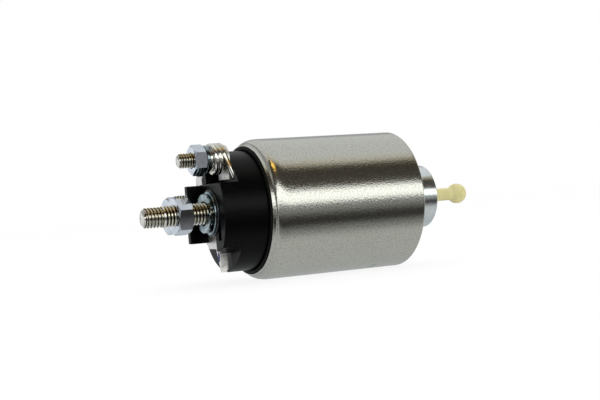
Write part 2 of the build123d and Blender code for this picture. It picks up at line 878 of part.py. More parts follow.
m6_spring = split_washer(
    m6_spring_outer,
    m6_spring_width,
    m6_spring_thickness,
    switch_shoulder_end - m6_nut_back - m6_spring_thickness - 2 * layer_clearance,
)
with BuildPart() as switch_spring_washer:
    add(m6_spring.part.moved(Location((switch_shoulder_end - layer_clearance, switch_y, switch_z))))
switch_spring_washer.part.label = "switch_spring_washer"
export_step(switch_spring_washer.part, "parts/switch_spring_washer.step")

switch_nut = hex_nut(
    m6_nut_back,
    m6_nut_height,
    m6_nut_width,
    m6_radius + layer_clearance,
    m6_nut_turn,
    switch_y,
    switch_z,
)
switch_nut.part.label = "switch_nut"
export_step(switch_nut.part, "parts/switch_nut.step")

# Winding lead: soldered turns round the switch stud, then a tangent down to its hole in the cap
turn_radius = switch_shoulder_radius + lead_radius + layer_clearance
wraps_back = plate_back - lead_radius - layer_clearance
hole_side = switch_y - lead_hole_y
hole_rise = lead_hole_z - switch_z
leave_turn = math.degrees(
    math.atan2(hole_rise, hole_side) + math.acos(turn_radius / math.hypot(hole_side, hole_rise))
)
leave_y = switch_y - turn_radius * math.cos(math.radians(leave_turn))
leave_z = switch_z + turn_radius * math.sin(math.radians(leave_turn))
with BuildPart() as lead_wraps:
    with BuildLine() as wraps_line:
        Helix(
            2 * lead_radius,
            2 * lead_radius * lead_turns,
            turn_radius,
            center=(wraps_back, 0, 0),
            direction=(-1, 0, 0),
        )
    with BuildSketch(Plane(origin=wraps_line.line @ 0, z_dir=wraps_line.line % 0)):
        Circle(lead_radius * 0.98)
    sweep(is_frenet=True)

with BuildPart() as switch_lead:
    # a helix wound towards -X starts at its lowest point, a quarter turn before the -Y side
    add(
        lead_wraps.part.rotate(Axis.X, -90 - leave_turn).moved(Location((0, switch_y, switch_z)))
    )
    with BuildLine() as tail_line:
        FilletPolyline(
            (wraps_back, leave_y, leave_z),
            (wraps_back, lead_hole_y, lead_hole_z),
            (cap_pad + lead_depth, lead_hole_y, lead_hole_z),
            radius=lead_bend,
        )
    with BuildSketch(Plane(origin=tail_line.line @ 0, z_dir=tail_line.line % 0)):
        Circle(lead_radius * 0.98)
    sweep()
switch_lead.part.label = "switch_lead"
export_step(switch_lead.part, "parts/switch_lead.step")

# Pull-in lead: the far end of the pull-in winding, soldered against the top of the motor strap
with BuildPart() as motor_lead:
    turned(
        strap_front - motor_lead_reach,
        chamber_floor - foot_clearance,
        lead_radius,
        y=motor_lead_y,
        z=strap_top + lead_radius,
    )
motor_lead.part.label = "motor_lead"
export_step(motor_lead.part, "parts/motor_lead.step")
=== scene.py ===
import math

import bmesh
import bpy
from mathutils import Matrix, Vector


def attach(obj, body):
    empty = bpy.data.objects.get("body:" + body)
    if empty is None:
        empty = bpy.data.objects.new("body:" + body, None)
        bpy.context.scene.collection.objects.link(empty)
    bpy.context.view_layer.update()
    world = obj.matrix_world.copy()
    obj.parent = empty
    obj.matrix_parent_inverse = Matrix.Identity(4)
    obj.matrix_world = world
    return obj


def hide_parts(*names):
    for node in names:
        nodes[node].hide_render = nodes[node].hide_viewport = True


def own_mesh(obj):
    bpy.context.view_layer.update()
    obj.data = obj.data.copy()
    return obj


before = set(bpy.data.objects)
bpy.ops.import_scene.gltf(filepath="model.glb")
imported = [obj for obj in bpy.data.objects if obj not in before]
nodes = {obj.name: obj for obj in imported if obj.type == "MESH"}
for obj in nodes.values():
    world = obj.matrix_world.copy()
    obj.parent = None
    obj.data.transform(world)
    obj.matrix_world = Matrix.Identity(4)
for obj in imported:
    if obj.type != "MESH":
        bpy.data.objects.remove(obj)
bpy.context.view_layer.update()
MM = 0.001

# In millimetres: the case's outer radius and bore, and where the switch terminal stands
CASE_RADIUS, CASE_BORE = 27.0, 24.6
SWITCH_Y, SWITCH_Z = -8.8, 19.8


def linear(colour):
    """An sRGB hex colour such as "B8BAB6" as a linear colour with alpha."""
    parts = [int(colour[i : i + 2], 16) / 255 for i in (0, 2, 4)]
    return [c / 12.92 if c <= 0.04045 else ((c + 0.055) / 1.055) ** 2.4 for c in parts] + [1.0]


def add(tree, kind, inputs=None, stops=(), **settings):
    """Add one node with its settings, its ramp's stops, and a value or a link for each input."""
    made = tree.nodes.new(kind)
    for name, value in settings.items():
        setattr(made, name, value)
    for name, value in (inputs or {}).items():
        source = value.outputs[0] if isinstance(value, bpy.types.Node) else value
        if isinstance(source, bpy.types.NodeSocket):
            tree.links.new(source, made.inputs[name])
        else:
            made.inputs[name].default_value = source
    for number, (position, colour) in enumerate(stops):
        elements = made.color_ramp.elements
        element = elements[number] if number < 2 else elements.new(position)
        element.position, element.color = position, linear(colour)
    return made


def new_material(name, **constants):
    """A node material with its shader's plain values set, and the object's own coordinates."""
    material = bpy.data.materials.new(name)
    material.use_nodes = True
    tree = material.node_tree
    tree.nodes.clear()
    shader = add(tree, "ShaderNodeBsdfPrincipled")
    for socket, value in constants.items():
        shader.inputs[socket.replace("_", " ")].default_value = value
    add(tree, "ShaderNodeOutputMaterial", {"Surface": shader})
    return material, tree, shader, add(tree, "ShaderNodeTexCoord").outputs["Object"]


def finish(tree, shader, **links):
    """Link a material's nodes to its shader's sockets."""
    for socket, source in links.items():
        tree.links.new(source.outputs[0], shader.inputs[socket.replace("_", " ")])


def clouded(name, scale, detail, dark, light, sheen=None, **constants):
    """A material whose colour, and its roughness if asked, follow one fine noise."""
    material, tree, shader, place = new_material(name, **constants)
    noise = add(tree, "ShaderNodeTexNoise", {"Vector": place, "Scale": scale, "Detail": detail})
    shade = add(tree, "ShaderNodeValToRGB", {0: noise}, [(0.3, dark), (0.7, light)])
    finish(tree, shader, Base_Color=shade)
    if sheen:
        rough = add(tree, "ShaderNodeMapRange", {"Value": noise, 3: sheen[0], 4: sheen[1]})
        finish(tree, shader, Roughness=rough)
    return material


# Zinc-plated drawn steel: a plain satin grey with a fine crystalline speckle. The grain is drawn
# about 0.6 mm across, coarser than the real 0.1 mm, so that it shows
case_steel, tree, shader, place = new_material("zinc_plated_drawn_steel", Metallic=1.0)
grain = add(tree, "ShaderNodeTexNoise", {"Vector": place, "Scale": 1600.0, "Detail": 3.0})
steel_stops = [(0.25, "B4B5AD"), (0.5, "CCCDC5"), (0.8, "D8D9D2")]
shade = add(tree, "ShaderNodeValToRGB", {0: grain}, steel_stops)
rough = add(tree, "ShaderNodeMapRange", {"Value": grain, 3: 0.14, 4: 0.21})
bump = add(tree, "ShaderNodeBump", {"Height": grain, "Strength": 0.5, "Distance": 0.00009})
finish(tree, shader, Base_Color=shade, Roughness=rough, Normal=bump)

# Bright zinc plate on machined steel: pale and slightly blue, faintly clouded
zinc_plate, tree, shader, place = new_material("bright_zinc_plate", Metallic=1.0)
cloud = add(tree, "ShaderNodeTexNoise", {"Vector": place, "Scale": 700.0, "Detail": 3.0})
shade = add(tree, "ShaderNodeValToRGB", {0: cloud}, [(0.3, "DDE6E9"), (0.7, "F2F7F8")])
rough = add(tree, "ShaderNodeMapRange", {"Value": cloud, 3: 0.14, 4: 0.24})
bump = add(tree, "ShaderNodeBump", {"Height": cloud, "Strength": 0.15, "Distance": 0.00004})
finish(tree, shader, Base_Color=shade, Roughness=rough, Normal=bump)

# The same plate on the nuts' cold-formed faces: smoother, and a little darker and bluer
nut_zinc = clouded(
    "bright_zinc_plate_on_nuts", 500.0, 3.0, "C8D1DE", "E2E7EE", (0.03, 0.08), Metallic=1.0
)

# Blue-passivated zinc of the washers: darker, with a teal cast
washer_zinc = clouded(
    "blue_passivated_zinc", 500.0, 3.0, "6E858B", "B4C2C6", (0.08, 0.16), Metallic=1.0
)


def thread_zinc(name, y, z, radius):
    """Zinc on a rolled thread: silver crests and tip, painted shade that darkens the roots, and a
    painted yellow reflection on the upper side of the flanks.
    """
    material, tree, shader, place = new_material(name, Metallic=1.0)
    centre = (0, -y * MM, -z * MM)
    across = add(
        tree, "ShaderNodeMapping", {"Vector": place, "Location": centre, "Scale": (0, 1, 1)}
    )
    out = add(tree, "ShaderNodeVectorMath", {0: across}, operation="LENGTH").outputs["Value"]
    depth = add(tree, "ShaderNodeMapRange", {"Value": out, 1: (radius - 1.4) * MM, 2: radius * MM})
    # Painted shade: the colour darkens from the pale crests down into the roots, deepest at the
    # bottom of the groove
    silver, yellow_reflection = (
        add(
            tree,
            "ShaderNodeValToRGB",
            {0: depth},
            [(0.4, "E6E4DC"), (0.5, root_shade), (0.62, root_shade), (0.76, flank), (0.9, "F2F0E8")],
        )
        for root_shade, flank in (("3E382C", "CFC9B4"), ("54401C", "D8BC70"))
    )
    # Painted reflection: the thread's upper side turns yellow, by height above its axis
    height = add(tree, "ShaderNodeSeparateXYZ", {0: across}).outputs["Z"]
    upper_side_reflection = add(tree, "ShaderNodeMapRange", {"Value": height, 1: 0.0, 2: 0.5 * radius * MM})
    shade = add(tree, "ShaderNodeMixRGB", {"Fac": upper_side_reflection, "Color1": silver, "Color2": yellow_reflection})
    stain = add(tree, "ShaderNodeTexNoise", {"Vector": place, "Scale": 400.0, "Detail": 2.0})
    rough = add(tree, "ShaderNodeMapRange", {"Value": stain, 3: 0.08, 4: 0.18})
    finish(tree, shader, Base_Color=shade, Roughness=rough)
    return material


# Oiled spring steel: dark and blue-grey, drawn bright
spring_steel = clouded(
    "oiled_spring_steel", 900.0, 2.0, "6E7276", "8E9296", Metallic=1.0, Roughness=0.3
)

# Phosphated steel of the collar: dark grey and finely etched
dark_steel = clouded(
    "phosphated_steel", 1800.0, 3.0, "54585A", "7C8082", (0.3, 0.45), Metallic=1.0
)

# Soft iron of the core: grey and finely mottled, left as machined
core_iron = clouded(
    "machined_soft_iron", 1200.0, 3.0, "7E7E80", "9C9C9C", Metallic=1.0, Roughness=0.35
)

# Glass-filled phenolic: black with a low sheen, and a faint orange peel from the mould
black_moulding, tree, shader, place = new_material(
    "black_phenolic_moulding", IOR=1.5, Specular_IOR_Level=0.1
)
peel = add(tree, "ShaderNodeTexNoise", {"Vector": place, "Scale": 650.0, "Detail": 3.0})
shade = add(tree, "ShaderNodeValToRGB", {0: peel}, [(0.35, "030304"), (0.75, "070708")])
rough = add(tree, "ShaderNodeMapRange", {"Value": peel, 3: 0.26, 4: 0.36})
bump = add(tree, "ShaderNodeBump", {"Height": peel, "Strength": 0.12, "Distance": 0.00006})
finish(tree, shader, Base_Color=shade, Roughness=rough, Normal=bump)

# Nitrile rubber of the seals: matte black
seal_rubber = clouded(
    "nitrile_rubber", 1500.0, 2.0, "050505", "0A0A0A", Roughness=0.6, Specular_IOR_Level=0.2
)

# Natural nylon: a pale warm yellow that lets a little light in, with a moulded sheen
yellow_nylon, tree, shader, place = new_material(
    "natural_nylon",
    Roughness=0.35,
    IOR=1.53,
    Subsurface_Weight=0.25,
    Subsurface_Radius=(1.0, 0.8, 0.4),
    Subsurface_Scale=0.0015,
)
cloud = add(tree, "ShaderNodeTexNoise", {"Vector": place, "Scale": 300.0, "Detail": 2.0})
shade = add(tree, "ShaderNodeValToRGB", {0: cloud}, [(0.3, "E2DA98"), (0.7, "ECE5AA")])
bump = add(tree, "ShaderNodeBump", {"Height": cloud, "Strength": 0.1, "Distance": 0.00008})
finish(tree, shader, Base_Color=shade, Normal=bump)

# White nylon of the bobbin
white_nylon = clouded("white_nylon", 300.0, 2.0, "D8D6CC", "E8E6DE", Roughness=0.4)

# Brown phenolic of the rod and the bushes, with a paper grain
brown_phenolic = clouded("brown_phenolic", 1100.0, 4.0, "4A2412", "6E3B1E", Roughness=0.5)

# Insulating paper wound round the coil
wrap_paper = clouded("insulating_paper", 900.0, 4.0, "BEB08C", "D0C4A4", Roughness=0.85)

# Enamelled copper wire, close wound: waves along the axis for the turns that lie across it
winding_wire, tree, shader, place = new_material(
    "enamelled_copper_turns", Metallic=0.6, Roughness=0.3
)
turns = add(
    tree,
    "ShaderNodeTexWave",
    {"Vector": place, "Scale": 160.0, "Distortion": 0.4, "Detail": 1.0},
    bands_direction="X",
)
shade = add(tree, "ShaderNodeValToRGB", {0: turns}, [(0.1, "38160A"), (0.6, "9A4A22")])
bump = add(tree, "ShaderNodeBump", {"Height": turns, "Strength": 0.6, "Distance": 0.0003})
finish(tree, shader, Base_Color=shade, Normal=bump)

# Drawn brass of the guide sleeve
drawn_brass = clouded(
    "drawn_brass", 800.0, 2.0, "B08A42", "CBA65C", Metallic=1.0, Roughness=0.28
)

# Bare copper of the contact disc, dulled a little by air
bare_copper = clouded(
    "bare_copper", 500.0, 3.0, "A35F3C", "C98060", Metallic=1.0, Roughness=0.32
)

# Tinned copper of the switch plate: near white, dipped and wiped, with the copper's brown showing
# through in patches
tinned_copper, tree, shader, place = new_material("tinned_copper", Metallic=1.0)
wiped = add(tree, "ShaderNodeTexNoise", {"Vector": place, "Scale": 380.0, "Detail": 4.0})
tin_stops = [(0.28, "B09A74"), (0.38, "E0DED8"), (0.62, "FAFAF8")]
shade = add(tree, "ShaderNodeValToRGB", {0: wiped}, tin_stops)
rough = add(tree, "ShaderNodeMapRange", {"Value": wiped, 3: 0.3, 4: 0.55})
bump = add(tree, "ShaderNodeBump", {"Height": wiped, "Strength": 0.35, "Distance": 0.00012})
finish(tree, shader, Base_Color=shade, Roughness=rough, Normal=bump)

# The motor strap's tin, wiped thicker, with a dab of blue marking paint on the tab's rear face
strap_tin, tree, shader, place = new_material("tinned_copper_of_the_strap", Metallic=1.0)
wiped = add(tree, "ShaderNodeTexNoise", {"Vector": place, "Scale": 420.0, "Detail": 5.0})
tin_stops = [(0.26, "A8906A"), (0.36, "EFEDE8"), (0.62, "FFFFFF")]
shade = add(tree, "ShaderNodeValToRGB", {0: wiped}, tin_stops)
rough = add(tree, "ShaderNodeMapRange", {"Value": wiped, 3: 0.35, 4: 0.6})
bump = add(tree, "ShaderNodeBump", {"Height": wiped, "Strength": 0.5, "Distance": 0.00015})
local = add(
    tree,
    "ShaderNodeMapping",
    {"Vector": place, "Location": (0.0796, 0.0093, 0.01245), "Scale": (1.0, 1.5, 0.75)},
)
dab = add(tree, "ShaderNodeVectorMath", {0: local}, operation="LENGTH")
dab_radius, dab_fraying = 0.0022, 0.0012
frayed = add(tree, "ShaderNodeMath", {0: wiped, 1: dab_fraying}, operation="MULTIPLY")
edge = add(tree, "ShaderNodeMath", {0: dab.outputs["Value"], 1: frayed}, operation="ADD")
bare = add(tree, "ShaderNodeMath", {0: edge, 1: dab_radius}, operation="GREATER_THAN")
tint = add(tree, "ShaderNodeMixRGB", {"Fac": bare, "Color1": linear("14146E"), "Color2": shade})
finish(tree, shader, Base_Color=tint, Roughness=rough, Normal=bump, Metallic=bare)

# Solder over the lead's turns: bright and run smooth, with warm flux in places
solder, tree, shader, place = new_material(
    "solder_over_copper_wire", Metallic=1.0, Roughness=0.16
)
flow = add(tree, "ShaderNodeTexNoise", {"Vector": place, "Scale": 220.0, "Detail": 1.0})
solder_stops = [(0.28, "B09262"), (0.36, "DCD8C8"), (0.6, "F6F6F2")]
shade = add(tree, "ShaderNodeValToRGB", {0: flow}, solder_stops)
bump = add(tree, "ShaderNodeBump", {"Height": flow, "Strength": 0.2, "Distance": 0.0003})
finish(tree, shader, Base_Color=shade, Normal=bump)

# Rolled thread: a grid wrapped round the X axis, whose radius falls from the crest to the root and
# back once in each pitch. It has a thinner lead section behind a chamfered tip, a plain band where
# the lead section ends, and both ends closed
thread_tree = bpy.data.node_groups.new("rolled_thread", "GeometryNodeTree")
tree = thread_tree
tree.interface.new_socket("Geometry", in_out="INPUT", socket_type="NodeSocketGeometry")
for label, kind, value in (
    ("Tip", "NodeSocketFloat", -0.1),
    ("End", "NodeSocketFloat", -0.08),
    ("Radius", "NodeSocketFloat", 0.004),
    ("Lead Radius", "NodeSocketFloat", 0.00375),
    ("Lead End", "NodeSocketFloat", -0.09),
    ("Band Width", "NodeSocketFloat", 0.0005),
    ("Pitch", "NodeSocketFloat", 0.00125),
    ("Depth", "NodeSocketFloat", 0.0007),
    ("Chamfer", "NodeSocketFloat", 0.001),
    ("Rows", "NodeSocketInt", 100),
    ("Segments", "NodeSocketInt", 64),
):
    tree.interface.new_socket(label, in_out="INPUT", socket_type=kind).default_value = value
tree.interface.new_socket("Material", in_out="INPUT", socket_type="NodeSocketMaterial")
tree.interface.new_socket("Geometry", in_out="OUTPUT", socket_type="NodeSocketGeometry")
given = add(tree, "NodeGroupInput").outputs
grid = add(
    tree,
    "GeometryNodeMeshGrid",
    {"Size X": 1.0, "Size Y": 1.0, "Vertices X": given["Rows"], "Vertices Y": given["Segments"]},
)
spot = add(tree, "ShaderNodeSeparateXYZ", {0: add(tree, "GeometryNodeInputPosition")}).outputs
along = add(
    tree,
    "ShaderNodeMapRange",
    {"Value": spot["X"], 1: -0.5, 2: 0.5, 3: given["Tip"], 4: given["End"]},
)
turns = add(tree, "ShaderNodeMath", {0: along, 1: given["Pitch"]}, operation="DIVIDE")
phase = add(tree, "ShaderNodeMath", {0: turns, 1: spot["Y"]}, operation="SUBTRACT")
flank = add(tree, "ShaderNodeMath", {0: phase, 1: 0.5}, operation="PINGPONG")
groove = add(tree, "ShaderNodeMapRange", {"Value": flank, 1: 0.06, 2: 0.43, 4: given["Depth"]})
past_lead = add(tree, "ShaderNodeMath", {0: along, 1: given["Lead End"]}, operation="SUBTRACT")
beside = add(tree, "ShaderNodeMath", {0: past_lead}, operation="ABSOLUTE")
cut = add(tree, "ShaderNodeMath", {0: beside, 1: given["Band Width"]}, operation="GREATER_THAN")
dip = add(tree, "ShaderNodeMath", {0: groove, 1: cut}, operation="MULTIPLY")
crest = add(
    tree,
    "ShaderNodeMapRange",
    {"Value": past_lead, 1: -0.0004, 2: 0.0001, 3: given["Lead Radius"], 4: given["Radius"]},
)
thread = add(tree, "ShaderNodeMath", {0: crest, 1: dip}, operation="SUBTRACT")
blunt = add(
    tree, "ShaderNodeMath", {0: given["Lead Radius"], 1: given["Chamfer"]}, operation="SUBTRACT"
)
inset = add(tree, "ShaderNodeMath", {0: along, 1: given["Tip"]}, operation="SUBTRACT")
cone = add(tree, "ShaderNodeMath", {0: blunt, 1: inset}, operation="ADD")
radius = add(tree, "ShaderNodeMath", {0: thread, 1: cone}, operation="MINIMUM")
side = add(tree, "ShaderNodeMath", {0: spot["X"]}, operation="ABSOLUTE")
between = add(tree, "ShaderNodeMath", {0: side, 1: 0.4999}, operation="LESS_THAN")
closed = add(tree, "ShaderNodeMath", {0: radius, 1: between}, operation="MULTIPLY")
angle = add(tree, "ShaderNodeMath", {0: spot["Y"], 1: math.tau}, operation="MULTIPLY")
flat = add(tree, "ShaderNodeCombineXYZ", {"X": along, "Y": closed})
wrapped = add(
    tree, "ShaderNodeVectorRotate", {"Vector": flat, "Angle": angle}, rotation_type="X_AXIS"
)
shaped = add(tree, "GeometryNodeSetPosition", {"Geometry": grid, "Position": wrapped})
merged = add(tree, "GeometryNodeMergeByDistance", {"Geometry": shaped, "Distance": 1e-6})
real = add(tree, "GeometryNodeRealizeInstances", {"Geometry": merged})
painted = add(tree, "GeometryNodeSetMaterial", {"Geometry": real, "Material": given["Material"]})
add(tree, "NodeGroupOutput", {0: painted})


def plain_mesh(name, mesh, modifiers):
    """The mesh that the given modifiers make of another, with the modifiers left behind."""
    carrier = bpy.data.objects.new(name, mesh)
    bpy.context.scene.collection.objects.link(carrier)
    for kind, settings in modifiers:
        modifier = carrier.modifiers.new(kind, kind)
        for setting, value in settings.items():
            if hasattr(modifier, setting):
                setattr(modifier, setting, value)
            else:
                modifier[setting] = value
    evaluated = carrier.evaluated_get(bpy.context.evaluated_depsgraph_get())
    made = bpy.data.meshes.new_from_object(evaluated)
    bpy.data.objects.remove(carrier)
    made.name = name
    return made


def outward(mesh, sharp=35.0):
    """Turn a closed mesh's faces outwards, shade it smooth and keep its real edges sharp."""
    work = bmesh.new()
    work.from_mesh(mesh)
    bmesh.ops.remove_doubles(work, verts=work.verts, dist=1e-7)
    bmesh.ops.recalc_face_normals(work, faces=work.faces)
    work.to_mesh(mesh)
    work.free()
    mesh.shade_smooth()
    mesh.set_sharp_from_angle(angle=math.radians(sharp))
    return mesh


def piece(name, mesh, body, replaced):
    """Put a finished mesh in the scene on its body, in place of its CAD node."""
    made = bpy.data.objects.new(name, mesh)
    bpy.context.scene.collection.objects.link(made)
    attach(made, body)
    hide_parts(replaced)
    return made


def corner(cx, cr, radius, first, last, steps=4):
    """Points of a rounded corner, as (along, from the axis), between two angles in degrees."""
    turns = [math.radians(first + (last - first) * i / steps) for i in range(steps + 1)]
    return [(cx + radius * math.cos(t), cr + radius * math.sin(t)) for t in turns]


def turned(name, outline, material, segments=192):
    """A closed piece of revolution about the X axis, from an outline in millimetres."""
    spokes = [i * math.tau / segments for i in range(segments)]
    points = [
        (x * MM, r * MM * math.cos(t), r * MM * math.sin(t)) for x, r in outline for t in spokes
    ]
    faces = []
    for row in range(len(outline)):
        above, here = (row + 1) % len(outline) * segments, row * segments
        for column in range(segments):
            beside = (column + 1) % segments
            faces.append((here + column, here + beside, above + beside, above + column))
    mesh = bpy.data.meshes.new(name)
    mesh.from_pydata(points, [], faces)
    mesh.materials.append(material)
    return mesh


def merged_copy(node, flat=None):
    """A copy of a CAD node's mesh with its points merged, and its flat faces joined if asked."""
    mesh = nodes[node].data.copy()
    work = bmesh.new()
    work.from_mesh(mesh)
    bmesh.ops.remove_doubles(work, verts=work.verts, dist=2e-6)
    if flat is not None:
        bmesh.ops.dissolve_limit(
            work, angle_limit=math.radians(flat), verts=work.verts, edges=work.edges
        )
    work.to_mesh(mesh)
    work.free()
    return mesh


# Case: a drawn tube with a rounded front edge, and a shoulder rolled in over the cap that ends in
# a narrow lip. Its rows lie closer near the stake marks, two slanted dimples on opposite sides
shoulder_x, shoulder_radius, shoulder_length, shoulder_drop = -58.0, 25.2, 4.6, 1.8
shoulder = [
    (
        shoulder_x - shoulder_length * math.sin(math.radians(a)),
        shoulder_radius + shoulder_drop * math.cos(math.radians(a)),
    )
    for a in range(88, -1, -8)
]
case_outline = (
    [(-62.5, CASE_BORE), (-63.9, 24.45), (-64.0, 24.55), (-64.0, 24.75), (-63.9, 24.85)]
    + [(-62.9, 24.9), (-62.75, 25.05)]
    + shoulder
    + [(shoulder_x + 2.0 * i, CASE_RADIUS) for i in range(20)]
    + [(-18.5 + 0.35 * i, CASE_RADIUS) for i in range(21)]
    + [(-10.0 + 1.5 * i, CASE_RADIUS) for i in range(7)]
    + corner(-1.0, CASE_RADIUS - 1.0, 1.0, 90, 0, 8)
    + [(0.0, 24.7), (-0.1, CASE_BORE), (-20.0, CASE_BORE), (-40.0, CASE_BORE)]
)
case_mesh = outward(turned("case_tube", case_outline, case_steel, 256))
stake_x, stake_length, stake_width, stake_depth = -15.3, 3.2, 1.5, 1.1
for vertex in case_mesh.vertices:
    for stake_turn in (252.0, 72.0):
        spoke = Matrix.Rotation(math.radians(stake_turn), 3, "X") @ Vector((0, 1, 0))
        if vertex.co.dot(spoke) < (CASE_RADIUS - 1.0) * MM:
            continue
        u = vertex.co.x / MM - stake_x
        v = vertex.co.dot(spoke.cross(Vector((1, 0, 0)))) / MM
        reach = math.hypot((u + v) / stake_length, (u - v) / stake_width)
        if reach < 1:
            vertex.co -= spoke * (stake_depth * MM * (0.5 + 0.5 * math.cos(math.pi * reach)))
piece("case_tube", case_mesh, "housing", "case")

# Plunger: turned and zinc plated, bored for the pull pin and recessed for the return spring
plunger_outline = (
    [(-13.5, 0.0), (-13.5, 7.1), (-17.4, 7.1), (-17.5, 7.3), (-17.5, 12.0)]
    + corner(-17.1, 12.25, 0.4, 180, 90)
    + [(-10.0, 12.65), (0.0, 12.65), (7.0, 12.65)]
    + corner(14.3, 12.15, 0.5, 90, 0, 6)
    + [(14.8, 9.5), (14.7, 9.4), (12.0, 9.4), (12.0, 9.0), (-7.0, 9.0), (-7.0, 0.0)]
)
plunger_mesh = outward(turned("plunger_turned", plunger_outline, zinc_plate))
piece("plunger_turned", plunger_mesh, "plunger", "plunger")

# Pull pin: a moulded stem with a flange inside the plunger and a ball, slightly flat at its end
stem_radius, ball_radius, ball_x, ball_flat = 2.55, 4.1, 32.1, 3.9
flat_at = math.degrees(math.acos(ball_flat / ball_radius))
neck = math.degrees(math.asin(stem_radius / ball_radius))
pin_outline = (
    [(-6.65, 0.0), (-6.65, 7.4), (-6.45, 7.6), (-4.45, 7.6), (-4.25, 7.4), (-4.25, 2.8)]
    + [(x, stem_radius) for x in (-4.0, 10.0, 20.0, 28.6)]
    + corner(ball_x, 0.0, ball_radius, 180 - neck - 3, flat_at, 28)
    + [(ball_x + ball_flat, 0.0)]
)
pin_mesh = outward(turned("pull_pin_moulded", pin_outline, yellow_nylon, 96), 60)
piece("pull_pin_moulded", pin_mesh, "pull_pin", "pull_pin")

# Studs: threaded lengths from the chamfered tip forwards, and the plain rest of the CAD piece.
# M8 is rolled at 1.25 mm and M6 at 1 mm
rows_per_turn, points_round = 12, 73
for node, slot, y, z, cut, tip, lead_end, end, lead_radius, radius, pitch, band in (
    ("battery_stud", "copper", -8.8, 0.0, -81.5, -108.6, -100.9, -81.0, 3.75, 4.0, 1.25, 0.35),
    ("motor_stud", "copper", 12.8, 0.0, -79.0, -98.0, -92.4, -78.5, 3.75, 4.0, 1.25, 0.0),
    (
        "switch_stud", "plate_steel", SWITCH_Y, SWITCH_Z,
        -81.7, -93.4, -88.0, -81.6, 2.75, 3.0, 1.0, 0.0,
    ),
):
    zinc = thread_zinc(node + "_passivated_zinc_thread", y, z, radius)
    sizes = {
        "Tip": tip * MM,
        "End": end * MM,
        "Radius": radius * MM,
        "Lead Radius": lead_radius * MM,
        "Lead End": lead_end * MM,
        "Band Width": band * MM,
        "Pitch": pitch * MM,
        "Depth": 0.56 * pitch * MM,
        "Chamfer": 0.85 * pitch * MM,
        "Rows": math.ceil((end - tip) / pitch * rows_per_turn),
        "Segments": points_round,
        "Material": zinc,
    }
    sockets = {item.name: item.identifier for item in thread_tree.interface.items_tree}
    settings = {"node_group": thread_tree} | {sockets[k]: v for k, v in sizes.items()}
    seed = bpy.data.meshes.new("seed")
    seed.from_pydata([(0, 0, 0)], [], [])
    work = bmesh.new()
    work.from_mesh(plain_mesh("thread", seed, [("NODES", settings)]))
    bmesh.ops.translate(work, verts=work.verts, vec=(0, y * MM, z * MM))
    rest = bmesh.new()
    rest.from_mesh(merged_copy(node))
    made = bmesh.ops.bisect_plane(
        rest,
        geom=rest.verts[:] + rest.edges[:] + rest.faces[:],
        plane_co=(cut * MM, 0, 0),
        plane_no=(-1, 0, 0),
        clear_outer=True,
    )
    rim = [e for e in made["geom_cut"] if isinstance(e, bmesh.types.BMEdge)]
    bmesh.ops.holes_fill(rest, edges=rim, sides=0)
    plain = bpy.data.meshes.new("rest")
    rest.to_mesh(plain)
    work.from_mesh(plain)
    stud_mesh = bpy.data.meshes.new(node + "_threaded")
    work.to_mesh(stud_mesh)
    work.free()
    rest.free()
    stud_mesh.materials.append(zinc)
    piece(node + "_threaded", outward(stud_mesh), "housing", node)

# Pieces whose edges are broken or moulded round: the CAD shape with small rounds on its edges.
# The strap's tab is made a little thinner, and the M8 spring washers lie flatter on their seats
tab_front, tab_thinning = -76.2, 0.7
battery_seat, motor_seat, washer_height = -83.5, -80.7, 0.6
for node, slot, material, width in (
    ("cap", "black_moulding", black_moulding, 0.45),
    ("stud_nuts", "plate_steel", nut_zinc, 0.28),
    ("switch_nut", "plate_steel", nut_zinc, 0.22),
    ("stud_washers", "plate_steel", washer_zinc, 0.12),
    ("battery_collar", "dark_steel", dark_steel, 0.12),
    ("stud_spring_washers", "plate_steel", washer_zinc, 0.2),
    ("switch_spring_washer", "plate_steel", washer_zinc, 0.15),
    ("motor_strap", "tinned_copper", strap_tin, 0.22),
):
    bevel = {
        "width": width * MM,
        "segments": 3,
        "limit_method": "ANGLE",
        "angle_limit": math.radians(40),
        "use_clamp_overlap": True,
        "harden_normals": False,
    }
    rounded = plain_mesh(
        node + "_rounded",
        merged_copy(node, 0.5),
        [
            ("BEVEL", bevel),
            ("TRIANGULATE", {"min_vertices": 5}),
            ("WEIGHTED_NORMAL", {"keep_sharp": True}),
        ],
    )
    for vertex in rounded.vertices:
        if node == "motor_strap" and vertex.co.x > tab_front * MM:
            vertex.co.x -= tab_thinning * MM
        if node == "stud_spring_washers":
            seat = battery_seat if vertex.co.y < 0 else motor_seat
            vertex.co.x = (seat + (vertex.co.x / MM - seat) * washer_height) * MM
    rounded.materials.clear()
    rounded.materials.append(material)
    piece(node + "_rounded", rounded, "housing", node)

# Winding lead: soldered turns round the switch terminal and a straight tail into its hole
wire_radius, turn_radius, leave = 0.86, 5.125, math.radians(14.5)
turn_count, turn_pitch, turns_start, turn_steps = 2.45, 1.75, -76.525, 104
hole = Vector((-74.6, -15.9, 12.8))
lead_line = [hole + Vector((5.0, 0, 0)), hole]
for step in range(turn_steps + 1):
    a = leave + math.tau * turn_count * step / turn_steps
    lead_line.append(
        Vector((
            turns_start - turn_pitch * (a - leave) / math.tau,
            SWITCH_Y - turn_radius * math.cos(a),
            SWITCH_Z + turn_radius * math.sin(a),
        ))
    )
lead_curve = bpy.data.curves.new("lead_line", "CURVE")
lead_curve.dimensions = "3D"
lead_curve.bevel_depth = wire_radius * MM
lead_curve.bevel_resolution = 5
lead_curve.use_fill_caps = True
line = lead_curve.splines.new("POLY")
line.points.add(len(lead_line) - 1)
for point, where in zip(line.points, lead_line):
    point.co = (*(where * MM), 1)
lead_mesh = outward(plain_mesh("switch_lead_soldered", lead_curve, []), 50)
lead_mesh.materials.append(solder)
piece("switch_lead_soldered", lead_mesh, "housing", "switch_lead")
